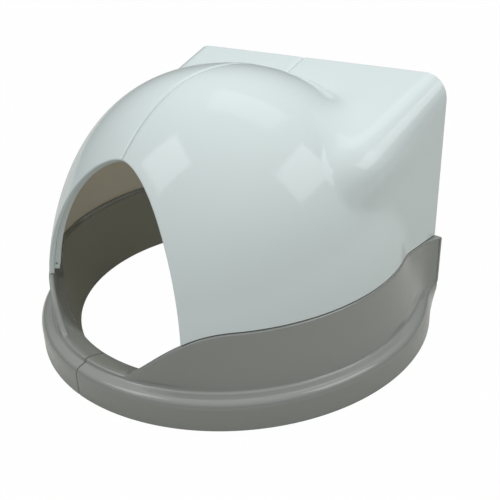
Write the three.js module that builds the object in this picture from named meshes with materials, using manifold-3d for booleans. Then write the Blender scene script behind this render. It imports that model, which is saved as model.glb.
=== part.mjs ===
// Hood and side walls of a cat litter box: a glossy white dome in two halves, with a flat-topped
// box behind it, lifts straight off a grey ring wall in two halves.
// Millimetres, +Z up. The cat walks in from -Y; the left half lies on -X.
import * as THREE from 'three';
import { ConvexGeometry } from 'three/addons/geometries/ConvexGeometry.js';
import { mergeVertices } from 'three/addons/utils/BufferGeometryUtils.js';
import Module from 'manifold-3d';

const wasm = await Module();
wasm.setup();

// ---- Driving dimensions ----

const FIT = 0.3; // gap left between pieces that touch
const REACH = 600; // size of the blocks used only for trimming

// Ring and side wall
const RING_RADIUS = 245; // outside of the bumper at the floor
const RING_DRAFT = 1.5; // how far the bumper face leans in on its way up
const RING_TOP = 31.8; // height of the bumper's flat top
const ROLL_RADIUS = 10; // round over the bumper's outer top edge
const WALL_FOOT_RADIUS = 228; // where the wall rises from the bumper
const WALL_TOP = 97; // height of the wall at the sides and the back
const SILL_TOP = 38; // height of the sill's outer edge in the entry
const SILL_INNER = 33; // height of the sill's inner edge
const SILL_INNER_RADIUS = 206;
const INNER_FOOT_RADIUS = 199; // lower edge of the inner wall
const INNER_FOOT_HEIGHT = 9;
const WALL_TOP_WIDTH = 8.5; // width of the wall's top at full height
const SIDEWALL_THICKNESS = 3;
const LIP_PROUD = 0.9; // the wall's top edge stands this far outside the dome
const LIP_ROUND = 3.5;
const RIM_GAP = 0.6; // the dome's rim stands this far above the wall's top
const OUTER_RISE = { from: 14, to: 46, lead: 1.3, settle: 2.6 }; // degrees from the front
const INNER_RISE = { from: 26, to: 50, lead: 1.5, settle: 2.2 };
const TONGUE_HEIGHT = 4.5; // rib on the wall's top that stands inside the dome
const TONGUE_THICKNESS = 2.5;
const TONGUE_START = 42; // degrees from the front, behind the feet of the arch

// Rear plane and wings
const REAR_REACH = 146; // from the ring's centre back to the flat rear plane
const WING_FLARE = 8; // how far each wing turns outward at the rear plane
const WING_FLARE_LENGTH = 34;
const WING_LOW = 38; // below this height the flare runs out into the bumper
const WING_LEAD = 20; // the wing's panel starts this far ahead of the box's side
const WING_FOOT = { beyond: 2, height: 4 }; // where its trimmed edge meets the ring, at the rear

// Dome and box
const DOME_BASE = 84;
const DOME_TOP = 304;
const DOME_SIDE = 214.1; // half width at the base
const DOME_FRONT = 228.2; // reach towards the entry at the base
const SIDE_CURVE = { height: 2.2, width: 2 }; // exponents of the side outline
const FRONT_CURVE = { height: 1.23, width: 2.2 }; // exponents of the front outline
const CREST_SHIFT = -7; // the crest lies this far forward of the ring's centre
const BOX_TOP = 288; // height of the box's flat top at the rear plane
const BOX_SLOPE = 0.382; // fall of the top towards the front
const BOX_HALF_WIDTH = 198.5;
const BOX_TAPER = 0.05; // narrowing of each side towards the front
const BOX_EDGE_RADIUS = 28; // at the rear plane
const BOX_FRONT_RADIUS = 42; // at the front end, which lies inside the dome
const BOX_LENGTH = 206;
const DOME_THICKNESS = 3;
const REAR_LIP = 12; // depth of the flange round the open rear
const SEAM_FLANGE = 16; // depth of the flanges that join the two halves
const FLANGE_THICKNESS = 3;

// Entry arch
const ARCH_HALF_WIDTH = 116;
const ARCH_FOOT = 80;
const ARCH_TOP = 237;
const ARCH_CURVE = 1.75;
const ARCH_RIM_DEPTH = 7; // the arch's edge is turned inward by this much
const ARCH_RIM_WIDTH = 3;
const FOOT_HOLE = { radius: 1.5, height: 93, length: 10 };

// Push rivets through the joint flanges
const RIVET = { shank: 2.6, head: 5.2, headHeight: 2.2, tip: 3.6, tipLength: 4, barb: 0.8 };
const RIVET_TIP_TAPER = 0.6; // width of the tip's end, as a share of the shank
const RIVET_HEAD_CROWN = 0.7; // width of the head's flat top, as a share of the head
const RIVET_CLEARANCE = 0.3;
const DOME_RIVET_HEIGHTS = [252, 291]; // on the dome's front, by height of the skin above
const CREST_RIVET_SETBACK = 12; // behind the crest
const BOX_RIVET_SETBACK = 18; // from the rear plane
const SILL_RIVETS = [{ radius: 234, height: 14 }, { radius: 213, height: 17 }];

// Fineness of the curved surfaces
const RING_STEPS = 72;
const DOME_STEPS = 48;
const DOME_ROWS = 11;
const ARCH_STEPS = 20;
const BOX_EDGE_STEPS = 5;
const RIVET_STEPS = 12;
const HOLE_STEPS = 12;
const WING_STEPS = 6;
const ROLL_TURNS = [0, 30, 60, 90]; // degrees
const ROUND_SHARE = 0.3; // how far in from the corner a round's middle lies, as a share of its radius
const LEAST_EDGE_SHARE = 0.2; // an inner edge keeps at least this share of the outer radius
const JOIN_DEPTH = 0.5; // how deep a flange reaches into the skin that carries it

// ---- Materials ----

const white = new THREE.MeshStandardMaterial({ color: 0xdfe6e5, roughness: 0.22, metalness: 0 });
const grey = new THREE.MeshStandardMaterial({ color: 0x757773, roughness: 0.28, metalness: 0 });
const natural = new THREE.MeshStandardMaterial({ color: 0xe9e8e2, roughness: 0.45, metalness: 0 });

// ---- Solids ----

function solidOf(geometry) {
  geometry.deleteAttribute('normal');
  geometry.deleteAttribute('uv');
  const merged = mergeVertices(geometry, 1e-3);
  const index = merged.index.array;
  const triVerts = [];
  for (let i = 0; i < index.length; i += 3) {
    const corners = [index[i], index[i + 1], index[i + 2]];
    if (new Set(corners).size === 3) triVerts.push(...corners);
  }
  const vertProperties = new Float32Array(merged.attributes.position.array);
  return new wasm.Manifold(
    new wasm.Mesh({ numProp: 3, vertProperties, triVerts: new Uint32Array(triVerts) }),
  );
}

function meshOf(name, solid, material) {
  const { vertProperties, triVerts } = solid.getMesh();
  const geometry = new THREE.BufferGeometry();
  geometry.setAttribute('position', new THREE.BufferAttribute(vertProperties, 3));
  geometry.setIndex(new THREE.BufferAttribute(triVerts, 1));
  geometry.computeVertexNormals();
  const mesh = new THREE.Mesh(geometry, material);
  mesh.name = name;
  return mesh;
}

function block(low, high) {
  const size = high.map((value, axis) => value - low[axis]);
  const geometry = new THREE.BoxGeometry(...size);
  geometry.translate(...low.map((value, axis) => value + size[axis] / 2));
  return solidOf(geometry);
}

// A full turn about Z of a section that changes with the angle from the front (-Y), in radians.
// sectionAt returns the same number of [radius, height] points at every angle.
function turned(sectionAt, steps) {
  const first = sectionAt(0).map(([radius, height]) => new THREE.Vector2(radius, height));
  const geometry = new THREE.LatheGeometry(first, steps);
  const position = geometry.attributes.position;
  for (let step = 0; step <= steps; step += 1) {
    const angle = ((step % steps) / steps) * Math.PI * 2;
    sectionAt(angle).forEach(([radius, height], row) => {
      const vertex = step * first.length + row;
      position.setXYZ(vertex, radius * Math.sin(angle), -radius * Math.cos(angle), height);
    });
  }
  return solidOf(geometry);
}

// An outline in (x, z) carried along Y.
function alongY(points, fromY, toY) {
  const geometry = new THREE.ExtrudeGeometry(new THREE.Shape(points), {
    depth: toY - fromY,
    bevelEnabled: false,
  });
  geometry.rotateX(Math.PI / 2);
  geometry.translate(0, toY, 0);
  return solidOf(geometry);
}

// ---- Shared outlines ----

const mix = (a, b, share) => a + (b - a) * share;

// Share of the full height reached at an angle from the front: 0 in the entry, 1 at the sides.
function rise(angle, { from, to, lead, settle }) {
  const degrees = THREE.MathUtils.radToDeg(Math.min(angle, Math.PI * 2 - angle));
  const share = THREE.MathUtils.clamp((degrees - from) / (to - from), 0, 1);
  return 1 - (1 - share ** lead) ** settle;
}

const wallTopAt = (angle) => mix(SILL_TOP, WALL_TOP, rise(angle, OUTER_RISE));

// Half width, front reach and centre of the dome at a share of its height.
function domeRow(share, inset) {
  const side = (1 - share ** SIDE_CURVE.height) ** (1 / SIDE_CURVE.width);
  const front = (1 - share ** FRONT_CURVE.height) ** (1 / FRONT_CURVE.width);
  return {
    side: (DOME_SIDE - inset) * side,
    front: (DOME_FRONT - inset) * front,
    height: mix(DOME_BASE, DOME_TOP - inset, share),
    centre: CREST_SHIFT * share,
  };
}

// Distance from the ring's centre to the dome's skin at an angle from the front and a height.
function domeRadiusAt(angle, height) {
  const share = Math.max(height - DOME_BASE, 0) / (DOME_TOP - DOME_BASE);
  const { side, front } = domeRow(share, 0);
  const reach = Math.cos(angle) > 0 ? front : side;
  return 1 / Math.hypot(Math.sin(angle) / side, Math.cos(angle) / reach);
}

// Half width of the box at a distance from the ring's centre, towards the rear plane.
const boxHalfWidthAt = (y) => BOX_HALF_WIDTH - BOX_TAPER * (REAR_REACH - y);
const boxTopAt = (y) => BOX_TOP - BOX_SLOPE * (REAR_REACH - y);

// ---- Dome and box ----

function domeBody(inset) {
  const shares = [];
  for (let row = 0; row <= DOME_ROWS; row += 1) {
    shares.push(Math.sin((row / DOME_ROWS) * Math.PI / 2));
  }
  const points = [new THREE.Vector2(0, 0), new THREE.Vector2(DOME_SIDE - inset, 0)];
  shares.forEach((share) => {
    const { side, height } = domeRow(share, inset);
    points.push(new THREE.Vector2(side, height));
  });
  const geometry = new THREE.LatheGeometry(points, DOME_STEPS);
  geometry.rotateX(Math.PI / 2);
  const position = geometry.attributes.position;
  for (let vertex = 0; vertex < position.count; vertex += 1) {
    const row = (vertex % points.length) - 2;
    const { side, front, centre } = domeRow(shares[Math.max(row, 0)], inset);
    const y = position.getY(vertex);
    const stretched = y < 0 && side > 1e-6 ? (y * front) / side : y;
    position.setY(vertex, stretched + centre);
  }
  return solidOf(geometry);
}

// Section of the box at a distance from the ring's centre towards the rear plane.
function boxSection(y, inset, edgeRadius) {
  const half = boxHalfWidthAt(y) - inset;
  const top = boxTopAt(y) - inset * Math.hypot(1, BOX_SLOPE);
  const radius = Math.max(edgeRadius - inset, edgeRadius * LEAST_EDGE_SHARE);
  const outline = new THREE.Path();
  outline.moveTo(-half, 0);
  outline.lineTo(half, 0);
  outline.absarc(half - radius, top - radius, radius, 0, Math.PI / 2, false);
  outline.absarc(-half + radius, top - radius, radius, Math.PI / 2, Math.PI, false);
  return outline.getPoints(BOX_EDGE_STEPS).map((point) => new THREE.Vector3(point.x, y, point.y));
}

function boxBody(inset, rearY) {
  const frontY = REAR_REACH - BOX_LENGTH + inset;
  const rear = boxSection(rearY, inset, BOX_EDGE_RADIUS);
  const front = boxSection(frontY, inset, BOX_FRONT_RADIUS);
  return solidOf(new ConvexGeometry([...rear, ...front]));
}

// Dome and box as one solid, each face moved in by the inset; the hollow runs out at the rear.
function hoodBody(inset) {
  const rearY = REAR_REACH + (inset === 0 ? 0 : FLANGE_THICKNESS);
  return domeBody(inset).add(boxBody(inset, rearY));
}

function archBody(margin) {
  const half = ARCH_HALF_WIDTH + margin;
  const height = ARCH_TOP - ARCH_FOOT + margin;
  const points = [new THREE.Vector2(-half, -REACH / 2), new THREE.Vector2(half, -REACH / 2)];
  for (let step = 0; step <= ARCH_STEPS; step += 1) {
    const turn = (step / ARCH_STEPS) * Math.PI;
    const x = Math.sign(Math.cos(turn)) * Math.abs(Math.cos(turn)) ** (2 / ARCH_CURVE);
    const z = Math.sin(turn) ** (2 / ARCH_CURVE);
    points.push(new THREE.Vector2(half * x, ARCH_FOOT + height * z));
  }
  return alongY(points, -REACH / 2, CREST_SHIFT);
}

// Everything below the dome's rim: the wall's own top, raised by the gap at the rim.
function belowRim() {
  const inner = INNER_FOOT_RADIUS - 2 * TONGUE_THICKNESS;
  const cutter = turned((angle) => {
    const height = wallTopAt(angle) - LIP_ROUND / 2;
    const top = [[REACH, height], [RING_RADIUS, height], [inner, height], [0, WALL_TOP]];
    return [[0, -REACH], [REACH, -REACH], ...top];
  }, RING_STEPS);
  const wing = wingBody(0).translate([FIT, FIT, RIM_GAP]); // its square edge needs the gap sideways
  return cutter.add(wallBody().translate([0, 0, RIM_GAP])).add(wing).add(mirrored(wing));
}

// Small hole across the turned-in rim, low on the arch's +X side.
function footHole() {
  const { radius, height, length } = FOOT_HOLE;
  const geometry = new THREE.CylinderGeometry(radius, radius, length, HOLE_STEPS);
  geometry.rotateZ(Math.PI / 2);
  const roughly = Math.asin(ARCH_HALF_WIDTH / DOME_FRONT);
  const angle = Math.asin(ARCH_HALF_WIDTH / domeRadiusAt(roughly, height));
  const skin = domeRadiusAt(angle, height) * Math.cos(angle);
  const y = DOME_THICKNESS + ARCH_RIM_DEPTH + radius - skin;
  geometry.translate(ARCH_HALF_WIDTH, y, height);
  return solidOf(geometry);
}

function rearSpace() {
  return block([-REACH, REAR_REACH, -REACH], [REACH, 2 * REACH, REACH]);
}

function hoodShell() {
  const skin = hoodBody(0);
  const hollow = hoodBody(DOME_THICKNESS);
  const joined = DOME_THICKNESS - JOIN_DEPTH;
  const halfSeam = FIT / 2 + FLANGE_THICKNESS;
  const seamFlange = hoodBody(joined)
    .subtract(hoodBody(DOME_THICKNESS + SEAM_FLANGE))
    .intersect(block([-halfSeam, -REACH, WALL_TOP], [halfSeam, REACH, REACH]));
  const rearLip = hoodBody(joined)
    .subtract(hoodBody(DOME_THICKNESS + REAR_LIP))
    .intersect(block([-REACH, REAR_REACH - FLANGE_THICKNESS, 0], [REACH, REAR_REACH, REACH]));
  const archRim = hoodBody(joined)
    .subtract(hoodBody(ARCH_RIM_DEPTH))
    .intersect(archBody(ARCH_RIM_WIDTH));
  return skin
    .subtract(hollow)
    .add(seamFlange)
    .add(rearLip)
    .add(archRim)
    .subtract(archBody(0))
    .subtract(belowRim())
    .subtract(rearSpace())
    .subtract(footHole());
}

// ---- Ring and side wall ----

// Half section of the ring and wall: outside for inset 0, and the hollow inside it otherwise.
function wallSection(angle, inset) {
  const outerRise = rise(angle, OUTER_RISE);
  const innerRise = rise(angle, INNER_RISE);
  const top = wallTopAt(angle);
  const lip = domeRadiusAt(angle, top) + LIP_PROUD;
  const face = RING_RADIUS - RING_DRAFT;
  const roll = ROLL_RADIUS - inset;
  const rollCentre = [face - ROLL_RADIUS, RING_TOP - ROLL_RADIUS];
  const rollPoints = ROLL_TURNS.map((degrees) => {
    const turn = THREE.MathUtils.degToRad(degrees);
    return [rollCentre[0] + roll * Math.cos(turn), rollCentre[1] + roll * Math.sin(turn)];
  });
  const foot = Math.max(WALL_FOOT_RADIUS, lip + RING_DRAFT);
  const innerTop = mix(SILL_INNER_RADIUS, lip - WALL_TOP_WIDTH, innerRise);
  const innerHeight = mix(SILL_INNER, WALL_TOP, innerRise);
  if (inset === 0) {
    return [
      [INNER_FOOT_RADIUS, INNER_FOOT_HEIGHT],
      [INNER_FOOT_RADIUS + 2 * SIDEWALL_THICKNESS, INNER_FOOT_HEIGHT],
      [RING_RADIUS - 2 * SIDEWALL_THICKNESS, 0],
      [RING_RADIUS, 0],
      ...rollPoints,
      [foot, RING_TOP],
      [lip, top - LIP_ROUND],
      [lip - LIP_ROUND * ROUND_SHARE, top - LIP_ROUND * ROUND_SHARE],
      [lip - LIP_ROUND, top],
      [innerTop, innerHeight],
      [INNER_FOOT_RADIUS, INNER_FOOT_HEIGHT],
    ];
  }
  const ceiling = mix(inset + 1, 2 * inset, outerRise);
  return [
    [INNER_FOOT_RADIUS + inset, -REACH],
    [RING_RADIUS - inset, -REACH],
    [RING_RADIUS - inset, 0],
    ...rollPoints,
    [foot - inset, RING_TOP - inset],
    [lip - inset, Math.max(top - ceiling - inset, RING_TOP - inset + 0.5)],
    [lip - inset - 2, top - ceiling],
    [innerTop + inset, innerHeight - mix(inset, 2 * inset, innerRise)],
    [INNER_FOOT_RADIUS + inset, INNER_FOOT_HEIGHT],
    [INNER_FOOT_RADIUS + inset, -REACH],
  ];
}

// The wall's inner face carried round behind the wings, as a solid core.
function wallCore(inset) {
  const low = INNER_FOOT_RADIUS + inset;
  const high = DOME_SIDE + LIP_PROUD - WALL_TOP_WIDTH + inset;
  const foot = [[0, -REACH], [low, -REACH], [low, INNER_FOOT_HEIGHT]];
  const top = [[high, WALL_TOP], [high, REACH], [0, REACH]];
  return turned(() => [...foot, ...top], RING_STEPS);
}

// Wing on the +X side: a panel under the box's side that flares outward at the rear plane.
function wingBody(inset) {
  const startY = Math.sqrt(DOME_SIDE ** 2 - BOX_HALF_WIDTH ** 2) - WING_LEAD;
  const plan = new THREE.Shape();
  const edge = (y) => {
    const share = THREE.MathUtils.clamp((y - REAR_REACH + WING_FLARE_LENGTH) / WING_FLARE_LENGTH, 0, 1);
    return boxHalfWidthAt(y) + LIP_PROUD + WING_FLARE * share ** 2 - inset;
  };
  const inner = INNER_FOOT_RADIUS / 2;
  const endY = inset === 0 ? REAR_REACH : REAR_REACH + 1;
  plan.moveTo(inner, startY + inset);
  plan.lineTo(edge(startY), startY + inset);
  for (let step = 0; step <= WING_STEPS; step += 1) {
    const y = mix(REAR_REACH - WING_FLARE_LENGTH, REAR_REACH, step / WING_STEPS);
    plan.lineTo(edge(y), y);
  }
  plan.lineTo(edge(REAR_REACH), endY);
  plan.lineTo(inner, endY);
  const low = inset === 0 ? 0 : -REACH;
  const geometry = new THREE.ExtrudeGeometry(plan, { depth: WALL_TOP - inset - low, bevelEnabled: false });
  geometry.translate(0, 0, low);
  const outermost = BOX_HALF_WIDTH + LIP_PROUD + WING_FLARE - inset;
  const ringEnd = Math.sqrt(RING_RADIUS ** 2 - REAR_REACH ** 2) + WING_FOOT.beyond - inset;
  const trim = [
    [0, -2 * REACH],
    [ringEnd, -2 * REACH],
    [ringEnd, WING_FOOT.height],
    [mix(ringEnd, outermost, 0.5), WING_LOW / 2],
    [outermost, WING_LOW],
    [outermost, REACH],
    [0, REACH],
  ].map(([x, z]) => new THREE.Vector2(x, z));
  return solidOf(geometry).intersect(alongY(trim, -REACH, REACH)).subtract(wallCore(inset));
}

function mirrored(solid) {
  return solid.mirror([1, 0, 0]);
}

function tongue() {
  const outside = hoodBody(DOME_THICKNESS + FIT);
  const inside = hoodBody(DOME_THICKNESS + FIT + TONGUE_THICKNESS);
  const start = THREE.MathUtils.degToRad(TONGUE_START);
  const frontY = -DOME_FRONT * Math.cos(start);
  const backY = REAR_REACH - FLANGE_THICKNESS - 2 * FIT;
  const low = WALL_TOP - SIDEWALL_THICKNESS;
  return outside
    .subtract(inside)
    .intersect(block([-REACH, frontY, low], [REACH, backY, WALL_TOP + TONGUE_HEIGHT]));
}

// Outside of the ring, wall and wings, without their hollow.
function wallBody() {
  const ring = turned((angle) => wallSection(angle, 0), RING_STEPS);
  const wing = wingBody(0);
  return ring.add(wing).add(mirrored(wing)).subtract(rearSpace());
}

function wallShell() {
  const inset = SIDEWALL_THICKNESS;
  const wingHollow = wingBody(inset);
  const body = wallBody();
  const hollow = turned((angle) => wallSection(angle, inset), RING_STEPS)
    .add(wingHollow)
    .add(mirrored(wingHollow));
  const halfSeam = FIT / 2 + FLANGE_THICKNESS;
  const sillWeb = body.intersect(block([-halfSeam, -REACH, 0], [halfSeam, 0, REACH]));
  const rearWeb = body.intersect(
    block([-REACH, REAR_REACH - FLANGE_THICKNESS, 0], [REACH, REAR_REACH, REACH]),
  );
  return body.subtract(hollow).add(sillWeb).add(rearWeb).add(tongue());
}

// ---- Push rivets ----

// A rivet along X, its head on +X, seated on the two flanges at the centre plane.
function rivetGeometry() {
  const grip = FIT / 2 + FLANGE_THICKNESS + FIT;
  const profile = [
    [0, -grip - RIVET.tipLength],
    [RIVET.shank * RIVET_TIP_TAPER, -grip - RIVET.tipLength],
    [RIVET.tip, -grip - RIVET.barb],
    [RIVET.tip, -grip],
    [RIVET.shank, -grip],
    [RIVET.shank, grip],
    [RIVET.head, grip],
    [RIVET.head, grip + RIVET.headHeight / 2],
    [RIVET.head * RIVET_HEAD_CROWN, grip + RIVET.headHeight],
    [0, grip + RIVET.headHeight],
  ].map(([radius, along]) => new THREE.Vector2(radius, along));
  const geometry = new THREE.LatheGeometry(profile, RIVET_STEPS);
  geometry.rotateZ(-Math.PI / 2);
  return geometry;
}

function rivetHole([y, z]) {
  const radius = RIVET.shank + RIVET_CLEARANCE;
  const length = 4 * FLANGE_THICKNESS;
  const geometry = new THREE.CylinderGeometry(radius, radius, length, RIVET_STEPS);
  geometry.rotateZ(Math.PI / 2);
  geometry.translate(0, y, z);
  return solidOf(geometry);
}

function domeRivetPlaces() {
  const depth = DOME_THICKNESS + SEAM_FLANGE / 2 + 1;
  const places = DOME_RIVET_HEIGHTS.map((height) => {
    const share = (height - DOME_BASE) / (DOME_TOP - DOME_BASE);
    const { front, height: z, centre } = domeRow(share, depth);
    return [centre - front, z];
  });
  places.push([CREST_SHIFT + CREST_RIVET_SETBACK, DOME_TOP - depth - 3]);
  const rearY = REAR_REACH - BOX_RIVET_SETBACK;
  places.push([rearY, boxTopAt(rearY) - depth * Math.hypot(1, BOX_SLOPE)]);
  return places;
}

const sillRivetPlaces = SILL_RIVETS.map(({ radius, height }) => [-radius, height]);

// ---- Assembly, placed so that the origin is under the middle of the whole object ----

const model = new THREE.Group();
model.position.y = (RING_RADIUS - REAR_REACH) / 2;

const rightSpace = block([FIT / 2, -REACH, -REACH], [REACH, REACH, REACH]);
const domePlaces = domeRivetPlaces();
let hood = hoodShell();
domePlaces.forEach((place) => {
  hood = hood.subtract(rivetHole(place));
});
let wall = wallShell();
sillRivetPlaces.forEach((place) => {
  wall = wall.subtract(rivetHole(place));
});
const domeRight = hood.intersect(rightSpace);
const wallRight = wall.intersect(rightSpace);
model.add(meshOf('dome_right', domeRight, white));
model.add(meshOf('dome_left', mirrored(domeRight), white));
model.add(meshOf('sidewall_right', wallRight, grey));
model.add(meshOf('sidewall_left', mirrored(wallRight), grey));

function addRivets(prefix, places, material) {
  places.forEach(([y, z], number) => {
    const rivet = meshOf(`${prefix}_${number + 1}`, solidOf(rivetGeometry()), material);
    rivet.position.set(0, y, z);
    model.add(rivet);
  });
}

addRivets('dome_rivet', domePlaces, natural);
addRivets('sill_rivet', sillRivetPlaces, grey);

export default model;
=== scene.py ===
# %% [markdown]
# # The hood and side walls of a cat litter box
#
# A glossy white dome stands on a grey ring wall. Both are moulded in two halves that meet on the
# middle plane, and the dome lifts straight off. The CAD model gives every size and place, and this
# lesson builds the finished skins round it: fine curved shells, their turned-in edges, the rivets
# that hold the halves together, and the two plastics.

import math

import bmesh
import bpy
import numpy as np
from mathutils import Matrix, Vector


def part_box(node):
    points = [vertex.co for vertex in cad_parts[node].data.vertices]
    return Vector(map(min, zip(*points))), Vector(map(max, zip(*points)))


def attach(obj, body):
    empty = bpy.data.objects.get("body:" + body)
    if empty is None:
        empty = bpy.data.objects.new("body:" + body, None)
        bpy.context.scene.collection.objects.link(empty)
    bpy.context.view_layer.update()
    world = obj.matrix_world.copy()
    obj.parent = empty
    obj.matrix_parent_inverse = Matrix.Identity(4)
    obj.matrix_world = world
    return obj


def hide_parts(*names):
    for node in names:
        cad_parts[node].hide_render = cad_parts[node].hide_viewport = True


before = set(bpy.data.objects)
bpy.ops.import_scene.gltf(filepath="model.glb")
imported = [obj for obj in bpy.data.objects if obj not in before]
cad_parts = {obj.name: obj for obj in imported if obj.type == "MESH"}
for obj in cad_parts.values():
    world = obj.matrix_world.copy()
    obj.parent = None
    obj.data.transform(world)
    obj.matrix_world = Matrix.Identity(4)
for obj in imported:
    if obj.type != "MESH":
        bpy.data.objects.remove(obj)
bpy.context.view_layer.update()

# %% [markdown]
# ## One set of sizes for every piece
#
# The mould maker's drawing is in millimetres, measured from the middle of the ring on the floor,
# with the entry towards -Y. The shapes below are worked out on that drawing, for the right half
# only, and one helper carries them to the frame in metres and mirrors them for the left half.

# %% Sizes
MM = 0.001
HALF_GAP = 0.15  # half of the joint between two halves
REAR = 146.0  # from the ring's middle back to the flat rear plane
THICKNESS = 3.0  # wall of every moulding
RIM_GAP = 1.5  # the dome's rim stands this far above the wall's top
FOLD_ROUND = 1.3  # small round where a flange folds in
WELD = 0.01  # edges and faces smaller than this are closed up

ring_middle = Vector((0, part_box("sidewall_right")[1].y - REAR * MM, 0))
print("ring middle", tuple(round(value, 4) for value in ring_middle))


def mix(a, b, share):
    return a + (b - a) * share


def ease(value, low, high):
    share = np.clip((value - low) / (high - low), 0, 1)
    return share * share * (3 - 2 * share)


def soft_max(a, b, width):
    """The larger of two, rounded over where they differ by less than the width."""
    near = np.clip(1 - np.abs(a - b) / width, 0, 1)
    return np.maximum(a, b) + near**3 * width / 6


# %% [markdown]
# ## The outline of the ring wall's top
#
# The wall is low in the entry, where it makes the sill, and sweeps up to its full height at the
# sides. The dome's rim follows the same sweep, so both pieces share this outline. Angles are
# measured from the front, in radians.

# %% Wall top
SILL_TOP, WALL_TOP = 38.0, 97.0
OUTER_SWEEP = (14, 46, 1.3, 2.6)  # from, to, how late it starts, how gently it ends
INNER_SWEEP = (26, 50, 1.5, 2.2)


def sweep(angle, start, end, lead, settle):
    share = np.clip((np.degrees(angle) - start) / (end - start), 0, 1)
    return 1 - (1 - share**lead) ** settle


def wall_top(angle):
    return mix(SILL_TOP, WALL_TOP, sweep(angle, *OUTER_SWEEP))


print("wall top every 15 degrees", wall_top(np.radians(np.arange(0, 61, 15))).round(1))

# %% [markdown]
# ## The hood's skin as two simple bodies
#
# The hood is a round dome run together with a box that has a sloping flat top and rounded edges.
# A ray from a point deep inside leaves each body at one place. The skin lies where it leaves the
# further one, and where both are about as far, the two are blended, which gives the soft hollow
# on the hood's flank and the crisper line behind the crest.

# %% Hood skin
DOME_BASE, DOME_TOP = 84.0, 304.0
DOME_SIDE, DOME_FRONT = 214.1, 228.2
CREST_SHIFT = -7.0
BOX_TOP, BOX_SLOPE = 288.0, 0.382
BOX_HALF = 198.5
BOX_STRAIGHT, BOX_RUN_OUT = 20.0, 0.006  # forward of this the sides curve in, and how fast
BOX_FRONT = -80.0
BOX_EDGE_REAR, BOX_EDGE_FRONT = 28.0, 40.0  # radius of the box's long rounded edges
SIDE_FULLNESS = 2.2  # a higher power keeps the dome's side upright for longer
FRONT_LEAN, FRONT_ROUND = 1.23, 2.2  # how early the front leans back, and how round it stays
HEART = np.array([0.0, 20.0, 120.0])  # the point deep inside that every ray starts from
FAR = 520.0
HALVINGS = 34  # each one halves the error of where a ray leaves a body
TINY = 1e-9


def dome_row(share):
    side = DOME_SIDE * np.sqrt(np.clip(1 - share**SIDE_FULLNESS, TINY, 1))
    front = DOME_FRONT * np.clip(1 - share**FRONT_LEAN, TINY, 1) ** (1 / FRONT_ROUND)
    return side, front


def in_dome(point):
    share = np.clip((point[..., 2] - DOME_BASE) / (DOME_TOP - DOME_BASE), 0, 1)
    side, front = dome_row(share)
    y = point[..., 1] - CREST_SHIFT * share
    reach = np.where(y < 0, front, side)
    inside = (point[..., 0] / side) ** 2 + (y / reach) ** 2 < 1
    return inside & (point[..., 2] < DOME_TOP)


def box_half(y):
    """Half width of the box, drawn in where its sides run out into the dome."""
    return BOX_HALF - BOX_RUN_OUT * np.clip(BOX_STRAIGHT - y, 0, None) ** 2


def in_box(point):
    x, y, z = np.abs(point[..., 0]), point[..., 1], point[..., 2]
    half = box_half(y)
    top = BOX_TOP - BOX_SLOPE * (REAR - y)
    radius = mix(BOX_EDGE_REAR, BOX_EDGE_FRONT, np.clip((REAR - y) / REAR, 0, 1.2))
    across = np.clip(x - (half - radius), 0, None)
    above = np.clip(z - (top - radius), 0, None)
    rounded = np.hypot(across, above) < radius
    return (x < half) & (z < top) & rounded & (y > BOX_FRONT)


def leaves(inside, start, direction):
    """How far along each ray the body ends."""
    low = np.zeros(direction.shape[:-1])
    high = np.full(direction.shape[:-1], FAR)
    for _ in range(HALVINGS):
        middle = (low + high) / 2
        within = inside(start + direction * middle[..., None])
        low, high = np.where(within, middle, low), np.where(within, high, middle)
    return low


# The blend is crisp on the crest and wide on the flank, and narrows again low down and forward.
CRISP_WIDTH, SOFT_WIDTH = 4.0, 72.0
FLANK_FROM, FLANK_TO = 70.0, 145.0  # how far out from the middle plane it widens
LOW_FROM, LOW_TO, LOW_SHARE = 172.0, 225.0, 0.1
FORWARD_FROM, FORWARD_TO, FORWARD_SHARE = -50.0, 15.0, 0.02


def blend_width(point):
    x, y, z = np.abs(point[..., 0]), point[..., 1], point[..., 2]
    width = mix(CRISP_WIDTH, SOFT_WIDTH, ease(x, FLANK_FROM, FLANK_TO))
    width = width * mix(LOW_SHARE, 1, ease(z, LOW_FROM, LOW_TO))
    return width * mix(FORWARD_SHARE, 1, ease(y, FORWARD_FROM, FORWARD_TO))


def hood_reach(direction):
    dome = leaves(in_dome, HEART, direction)
    box = leaves(in_box, HEART, direction)
    hit = HEART + direction * np.maximum(dome, box)[..., None]
    return soft_max(dome, box, blend_width(hit))


def on_hood(point):
    way = point - HEART
    length = np.linalg.norm(way, axis=-1, keepdims=True)
    direction = way / length
    return HEART + direction * hood_reach(direction)[..., None]


def in_hood(point):
    way = point - HEART
    length = np.linalg.norm(way, axis=-1)
    return length < hood_reach(way / length[..., None])


print("skin straight above the heart", on_hood(HEART + np.array([[0.0, 0.0, 1.0]])).round(1))

# %% [markdown]
# ## The four edges of a half hood
#
# A half hood is one patch with four edges: the rim below, the joint on the middle plane above, the
# entry arch in front and the rear plane behind. Each edge is traced on the skin and divided
# evenly, and the patch between them is the average of the four edges pushed out to the skin.

# %% Edges of the half hood
ARCH_HALF, ARCH_FOOT, ARCH_TOP, ARCH_CURVE = 116.0, 80.0, 237.0, 1.75
HOOD_ALONG, HOOD_UP = 196, 176  # steps in the grid along the rim and up the arch
EDGE_SAMPLES, SEAM_SAMPLES = 500, 600
PAST_REAR = 0.02  # the rim is traced this angle beyond the rear corner, then cut off
ARCH_START = 20.0  # rays to the arch start this far forward of the middle
GROOVE = 1.5  # how deep the skin dips at the joint of the two halves
GROOVE_EASE = 0.3  # share of that dip one row away from the joint


def traced(start, direction):
    start = np.broadcast_to(np.asarray(start, float), direction.shape)
    return start + direction * leaves(in_hood, start, direction)[..., None]


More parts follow.
